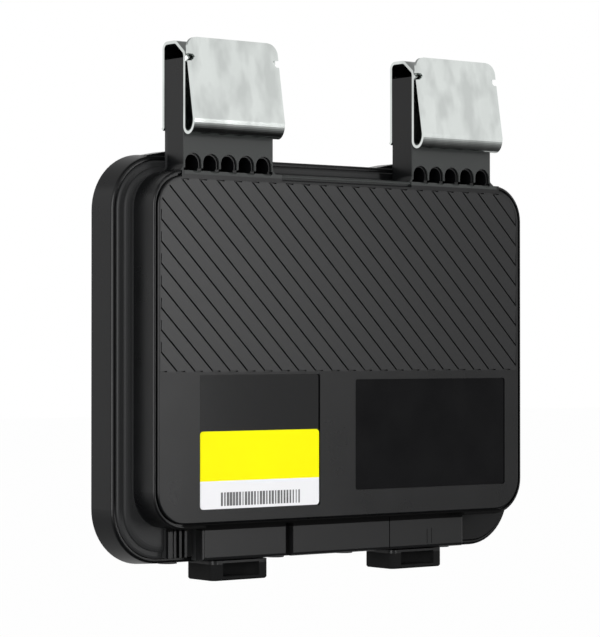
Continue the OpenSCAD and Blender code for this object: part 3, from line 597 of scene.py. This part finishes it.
@dataclass
class Label:
    """The stick-on label with its printed bars, and the dark rating plate."""

    bars: int = 27
    bars_left: float = -42.0 * MM
    bars_right: float = -16.6 * MM
    bars_bottom: float = -96.6 * MM
    bars_top: float = -93.1 * MM
    thin: float = 0.22 * MM
    thick: float = 0.9 * MM
    ink: float = 0.02 * MM
    seed: int = 11
    grey: Colour = (0.08, 0.08, 0.083)
    faded: Colour = (0.14, 0.14, 0.145)

    def dress(self) -> None:
        """Dress the film and the plate."""
        film = PrintedFilm("label_film", (0.98, 0.95, 0.0015), (0.96, 0.91, 0.001), smooth=0.38,
                           rough=0.46, patch=20 * MM, grain=0.4 * MM, depth=0.002 * MM, specular=0.05)
        plate = Finish("rating_film", (0.006, 0.006, 0.0065), (0.004, 0.004, 0.0045), smooth=0.16,
                       rough=0.24, grain=0.4 * MM, depth=0.001 * MM, specular=0.04)
        dress("id_label", film.build())
        dress("rating_plate", plate.build())

    def build(self) -> bpy.types.Object:
        """Print the row of bars on the label's strip.

        Returns:
            The bars as one mesh piece.
        """
        ink = Finish("label_ink", self.faded, self.grey, smooth=0.4, rough=0.5, patch=3 * MM,
                     grain=0.2 * MM, depth=0.001 * MM).build()
        low_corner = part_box("id_label")[0]
        front = low_corner[1]
        tree = self.bar_tree(ink)
        mesh = bpy.data.meshes.new("label_bars_seed")
        carrier = bpy.data.objects.new("label_bars_seed", mesh)
        bpy.context.scene.collection.objects.link(carrier)
        modifier = carrier.modifiers.new("bars", "NODES")
        modifier.node_group = tree
        sizes = {"Count": self.bars, "Pitch": (self.bars_right - self.bars_left) / (self.bars - 1),
                 "Left": self.bars_left, "Front": front - self.ink / 2,
                 "Middle": (self.bars_bottom + self.bars_top) / 2,
                 "Height": self.bars_top - self.bars_bottom,
                 "Depth": self.ink, "Thin": self.thin, "Thick": self.thick, "Seed": self.seed}
        for item in tree.interface.items_tree:
            if item.name in sizes and item.in_out == "INPUT":
                modifier[item.identifier] = sizes[item.name]
        bars = self.plain(carrier, "label_bars")
        settle(bars)
        return bars

    @staticmethod
    def bar_tree(ink: bpy.types.Material) -> bpy.types.NodeTree:
        """Make the Geometry Nodes tree of a row of upright bars of random width.

        Args:
            ink: the bars' material.

        Returns:
            The tree.
        """
        tree = bpy.data.node_groups.new("bar_row", "GeometryNodeTree")
        face = tree.interface
        face.new_socket(name="Geometry", in_out="OUTPUT", socket_type="NodeSocketGeometry")
        for name in ("Count", "Seed"):
            face.new_socket(name=name, in_out="INPUT", socket_type="NodeSocketInt")
        for name in ("Pitch", "Left", "Front", "Middle", "Height", "Depth", "Thin", "Thick"):
            face.new_socket(name=name, in_out="INPUT", socket_type="NodeSocketFloat")
        inlet = tree.nodes.new("NodeGroupInput").outputs
        line = tree.nodes.new("GeometryNodeMeshLine")
        start = tree.nodes.new("ShaderNodeCombineXYZ")
        step = tree.nodes.new("ShaderNodeCombineXYZ")
        width = tree.nodes.new("FunctionNodeRandomValue")
        size = tree.nodes.new("ShaderNodeCombineXYZ")
        bar = tree.nodes.new("GeometryNodeMeshCube")
        spread = tree.nodes.new("GeometryNodeInstanceOnPoints")
        real = tree.nodes.new("GeometryNodeRealizeInstances")
        paint = tree.nodes.new("GeometryNodeSetMaterial")
        outlet = tree.nodes.new("NodeGroupOutput")
        paint.inputs["Material"].default_value = ink
        bar.inputs["Size"].default_value = (1.0, 1.0, 1.0)
        joins = ((inlet["Left"], start.inputs["X"]), (inlet["Front"], start.inputs["Y"]),
                 (inlet["Middle"], start.inputs["Z"]), (inlet["Pitch"], step.inputs["X"]),
                 (inlet["Count"], line.inputs["Count"]), (start.outputs[0], line.inputs["Start Location"]),
                 (step.outputs[0], line.inputs["Offset"]), (inlet["Thin"], width.inputs[RANDOM_LOW]),
                 (inlet["Thick"], width.inputs[RANDOM_HIGH]), (inlet["Seed"], width.inputs["Seed"]),
                 (width.outputs[RANDOM_NUMBER], size.inputs["X"]), (inlet["Depth"], size.inputs["Y"]),
                 (inlet["Height"], size.inputs["Z"]), (line.outputs[0], spread.inputs["Points"]),
                 (bar.outputs["Mesh"], spread.inputs["Instance"]),
                 (size.outputs[0], spread.inputs["Scale"]), (spread.outputs[0], real.inputs[0]),
                 (real.outputs[0], paint.inputs["Geometry"]), (paint.outputs[0], outlet.inputs[0]))
        link_all(tree, joins)
        return tree

    @staticmethod
    def plain(carrier: bpy.types.Object, name: str) -> bpy.types.Object:
        """Turn a carrier's evaluated modifier into a plain mesh object.

        Args:
            carrier: the object that holds the modifier; it is removed.
            name: the new object's name.

        Returns:
            The plain object.
        """
        graph = bpy.context.evaluated_depsgraph_get()
        mesh = bpy.data.meshes.new_from_object(carrier.evaluated_get(graph))
        piece = bpy.data.objects.new(name, mesh)
        bpy.context.scene.collection.objects.link(piece)
        bpy.data.objects.remove(carrier)
        return piece


@dataclass
class Electronics:
    """The parts inside the case, each in the finish of its kind."""

    finishes: dict[str, Finish] = field(default_factory=dict)

    def __post_init__(self) -> None:
        """List the finish of each inner node."""
        black = Finish("chip_body", (0.03, 0.03, 0.032), (0.018, 0.018, 0.02), smooth=0.45, rough=0.6)
        rubber = Finish("sleeve_rubber", (0.022, 0.022, 0.022), (0.013, 0.013, 0.013), smooth=0.6,
                        rough=0.75)
        can = Finish("capacitor_can", (0.72, 0.73, 0.75), (0.6, 0.61, 0.63), metallic=1.0,
                     smooth=0.22, rough=0.34, stretch=(1.0, 1.0, 0.1))
        shield = Finish("shield_steel", (0.7, 0.71, 0.72), (0.6, 0.61, 0.62), metallic=1.0,
                        smooth=0.2, rough=0.32, stretch=(0.2, 1.0, 1.0))
        self.finishes.update({
            "circuit_board": BoardLaminate("board_laminate", (0.05, 0.22, 0.09), (0.02, 0.11, 0.045),
                                           smooth=0.25, rough=0.4),
            "board_screws": Finish("screw_steel", (0.6, 0.61, 0.62), (0.45, 0.46, 0.47), metallic=1.0,
                                   smooth=0.25, rough=0.4),
            "inductor_core": Finish("ferrite", (0.06, 0.06, 0.065), (0.035, 0.035, 0.04), smooth=0.5,
                                    rough=0.7, depth=0.02 * MM),
            "inductor_winding": WoundWire("winding_copper", (0.72, 0.3, 0.13), (0.58, 0.22, 0.09),
                                          metallic=1.0, smooth=0.22, rough=0.35),
            "filter_capacitors": Finish("chip_ceramic", (0.42, 0.3, 0.2), (0.3, 0.2, 0.13), smooth=0.4,
                                        rough=0.55),
            "thermal_pad": Finish("pad_silicone", (0.42, 0.45, 0.5), (0.34, 0.37, 0.42), smooth=0.6,
                                  rough=0.8),
            "heat_spreader": Finish("spreader_aluminium", (0.75, 0.76, 0.77), (0.64, 0.65, 0.66),
                                    metallic=1.0, smooth=0.3, rough=0.45, stretch=(0.1, 1.0, 1.0)),
            "current_shunt": Finish("shunt_alloy", (0.62, 0.58, 0.5), (0.5, 0.46, 0.4), metallic=1.0,
                                    smooth=0.3, rough=0.45),
            "radio_antenna": Finish("antenna_ceramic", (0.82, 0.8, 0.74), (0.7, 0.68, 0.62), smooth=0.4,
                                    rough=0.55),
            "cable_terminals": Finish("terminal_brass", (0.75, 0.55, 0.24), (0.62, 0.44, 0.18),
                                      metallic=1.0, smooth=0.25, rough=0.4),
        })
        shared = ((can, ("input_capacitors", "output_capacitors")),
                  (black, ("power_transistors", "bypass_diode", "controller_chip", "radio_chip")),
                  (shield, ("clock_crystal", "radio_shield")),
                  (rubber, ("sleeve_input_pos", "sleeve_input_neg", "sleeve_output_pos",
                            "sleeve_output_neg")))
        for finish, nodes in shared:
            self.finishes.update({node: finish for node in nodes})

    def dress(self) -> None:
        """Dress each inner node, and share a material between nodes of one finish."""
        made: dict[str, bpy.types.Material] = {}
        for node, finish in self.finishes.items():
            if finish.name not in made:
                made[finish.name] = finish.build()
            dress(node, made[finish.name])


@dataclass
class Lamp:
    """A softbox aimed at the middle of the case."""

    name: str
    place: Point
    wide: float
    tall: float
    watts: float
    aim: Point = (0.0, 0.01, -0.05)

    def build(self) -> bpy.types.Object:
        """Make the lamp.

        Returns:
            The lamp object.
        """
        light = bpy.data.lights.new(self.name, "AREA")
        light.shape = "RECTANGLE"
        light.size = self.wide
        light.size_y = self.tall
        light.energy = self.watts
        lamp = bpy.data.objects.new(self.name, light)
        lamp.location = self.place
        aim = [self.aim[axis] - self.place[axis] for axis in range(3)]
        flat = math.hypot(aim[0], aim[1])
        lamp.rotation_euler = (math.pi / 2 + math.atan2(aim[2], flat), 0.0, math.atan2(-aim[0], aim[1]))
        bpy.context.scene.collection.objects.link(lamp)
        return lamp


@dataclass(frozen=True)
class Card:
    """A level card: its edges and height, and its shade from the middle outwards."""

    name: str
    left: float
    right: float
    near: float
    far: float
    height: float
    inner: float
    outer: float
    shade: float
    rim_shade: float


def level_sheet(name: str, left: float, right: float, near: float, far: float,
                height: float) -> bpy.types.Object:
    """Make a level rectangle in the room.

    Args:
        name: the object's name.
        left: its edge at low X.
        right: its edge at high X.
        near: its edge at low Y.
        far: its edge at high Y.
        height: its Z.

    Returns:
        The object.
    """
    mesh = bpy.data.meshes.new(name)
    corners = [(left, near, height), (right, near, height), (right, far, height), (left, far, height)]
    mesh.from_pydata(corners, [], [(0, 1, 2, 3)])
    sheet = bpy.data.objects.new(name, mesh)
    bpy.context.scene.collection.objects.link(sheet)
    return sheet


@dataclass
class Studio:
    """White room: camera, soft lamps, pale floor, cards for the reflections, and world."""

    camera_at: Point = (-0.4435, -0.5434, -0.05595)
    turn: float = 38.138
    pitch: float = 0.67
    lens: float = 147.45
    sensor: float = 36.0
    clip_start: float = 0.01
    clip_end: float = 50.0
    floor_z: float = -0.26
    floor_half: float = 6.0
    floor_shade: float = 0.9
    floor_glow: float = 0.98
    ambient: float = 0.5
    cards: tuple[Card, ...] = (
        Card("low_card", left=-0.6, right=1.1, near=-0.95, far=0.1, height=-0.22,
             inner=0.2, outer=1.0, shade=0.01, rim_shade=0.6),
        Card("rear_card", left=-0.6, right=1.1, near=0.1, far=0.9, height=-0.22,
             inner=0.2, outer=0.8, shade=0.52, rim_shade=0.52),
        Card("high_card", left=-0.35, right=0.45, near=-0.35, far=0.75, height=0.28,
             inner=0.1, outer=0.45, shade=0.12, rim_shade=0.5),
    )
    lamps: tuple[Lamp, ...] = (
        Lamp("key", place=(0.4224, -0.8957, -0.0151), wide=0.2, tall=0.5, watts=2.3),
        Lamp("fill", place=(-0.8182, -0.4624, 0.0493), wide=0.5, tall=0.6, watts=5.0),
    )

    def build(self) -> None:
        """Set the camera, the lamps, the floor, the cards and the world."""
        self.set_camera()
        for lamp in self.lamps:
            lamp.build()
        self.set_floor()
        for card in self.cards:
            self.set_card(card)
        self.set_world()
        bpy.context.scene.view_settings.view_transform = "Standard"

    def set_camera(self) -> None:
        """Put the camera at the photograph's place, with its lens."""
        data = bpy.data.cameras.new("camera")
        data.lens = self.lens
        data.sensor_width = self.sensor
        data.sensor_fit = "AUTO"
        data.clip_start = self.clip_start
        data.clip_end = self.clip_end
        camera = bpy.data.objects.new("camera", data)
        camera.location = self.camera_at
        camera.rotation_euler = (math.radians(90.0 + self.pitch), 0.0, math.radians(-self.turn))
        bpy.context.scene.collection.objects.link(camera)
        bpy.context.scene.camera = camera

    @staticmethod
    def seen(tree: bpy.types.NodeTree) -> bpy.types.NodeSocket:
        """Give 1 for the rays that show the room to the camera, straight or by a mirror or glass.

        Args:
            tree: the tree that the nodes go into.

        Returns:
            The value socket.
        """
        path = tree.nodes.new("ShaderNodeLightPath")
        total = path.outputs["Is Camera Ray"]
        for ray in ("Is Glossy Ray", "Is Transmission Ray"):
            more = tree.nodes.new("ShaderNodeMath")
            more.operation = Operation.LARGER.value
            link_all(tree, ((total, more.inputs[0]), (path.outputs[ray], more.inputs[1])))
            total = more.outputs[0]
        return total

    def set_floor(self) -> None:
        """Lay the pale floor under the hanging object."""
        half = self.floor_half
        floor = level_sheet("floor", -half, half, -half, half, self.floor_z)
        material = bpy.data.materials.new("pale_floor")
        tree = clear_tree(material)
        matt = tree.nodes.new("ShaderNodeBsdfDiffuse")
        glow = tree.nodes.new("ShaderNodeEmission")
        share = tree.nodes.new("ShaderNodeMath")
        mix = tree.nodes.new("ShaderNodeMixShader")
        output = tree.nodes.new("ShaderNodeOutputMaterial")
        matt.inputs["Color"].default_value = (self.floor_shade, self.floor_shade, self.floor_shade, 1.0)
        share.operation = Operation.PRODUCT.value
        share.inputs[1].default_value = self.floor_glow
        link_all(tree, ((self.seen(tree), share.inputs[0]), (share.outputs[0], mix.inputs[0]),
                        (matt.outputs[0], mix.inputs[1]), (glow.outputs[0], mix.inputs[2]),
                        (mix.outputs[0], output.inputs["Surface"])))
        floor.data.materials.append(material)

    @staticmethod
    def set_card(card: Card) -> None:
        """Hang a card that only reflections see, of one shade in its middle and another outwards.

        Args:
            card: its edges, height and shades.
        """
        board = level_sheet(card.name, card.left, card.right, card.near, card.far, card.height)
        material = bpy.data.materials.new(card.name)
        tree = clear_tree(material)
        coords = tree.nodes.new("ShaderNodeTexCoord")
        reach = tree.nodes.new("ShaderNodeVectorMath")
        grade = tree.nodes.new("ShaderNodeMapRange")
        glow = tree.nodes.new("ShaderNodeEmission")
        output = tree.nodes.new("ShaderNodeOutputMaterial")
        reach.operation = "DISTANCE"
        reach.inputs[1].default_value = (0.0, 0.0, card.height)
        for name, value in (("From Min", card.inner), ("From Max", card.outer),
                            ("To Min", card.shade), ("To Max", card.rim_shade)):
            grade.inputs[name].default_value = value
        link_all(tree, ((coords.outputs["Object"], reach.inputs[0]),
                        (reach.outputs["Value"], grade.inputs["Value"]),
                        (grade.outputs[0], glow.inputs["Strength"]),
                        (glow.outputs[0], output.inputs["Surface"])))
        board.data.materials.append(material)
        board.visible_camera = False
        board.visible_diffuse = False
        board.visible_shadow = False

    def set_world(self) -> None:
        """Light the room softly and show it white."""
        world = bpy.data.worlds.new("white_room")
        bpy.context.scene.world = world
        tree = clear_tree(world)
        soft = tree.nodes.new("ShaderNodeBackground")
        white = tree.nodes.new("ShaderNodeBackground")
        mix = tree.nodes.new("ShaderNodeMixShader")
        output = tree.nodes.new("ShaderNodeOutputWorld")
        soft.inputs["Strength"].default_value = self.ambient
        for background in (soft, white):
            background.inputs["Color"].default_value = WHITE
        white.inputs["Strength"].default_value = 1.0
        link_all(tree, ((self.seen(tree), mix.inputs[0]), (soft.outputs[0], mix.inputs[1]),
                        (white.outputs[0], mix.inputs[2]), (mix.outputs[0], output.inputs["Surface"])))


def main() -> None:
    """Build the scene in order: studio, case, clips, label, inner parts."""
    logging.basicConfig(level=logging.INFO, format="%(name)s: %(message)s")
    Studio().build()
    Case().dress()
    Clips().dress()
    label = Label()
    label.dress()
    label.build()
    Electronics().dress()


if __name__ == "__main__":
    main()
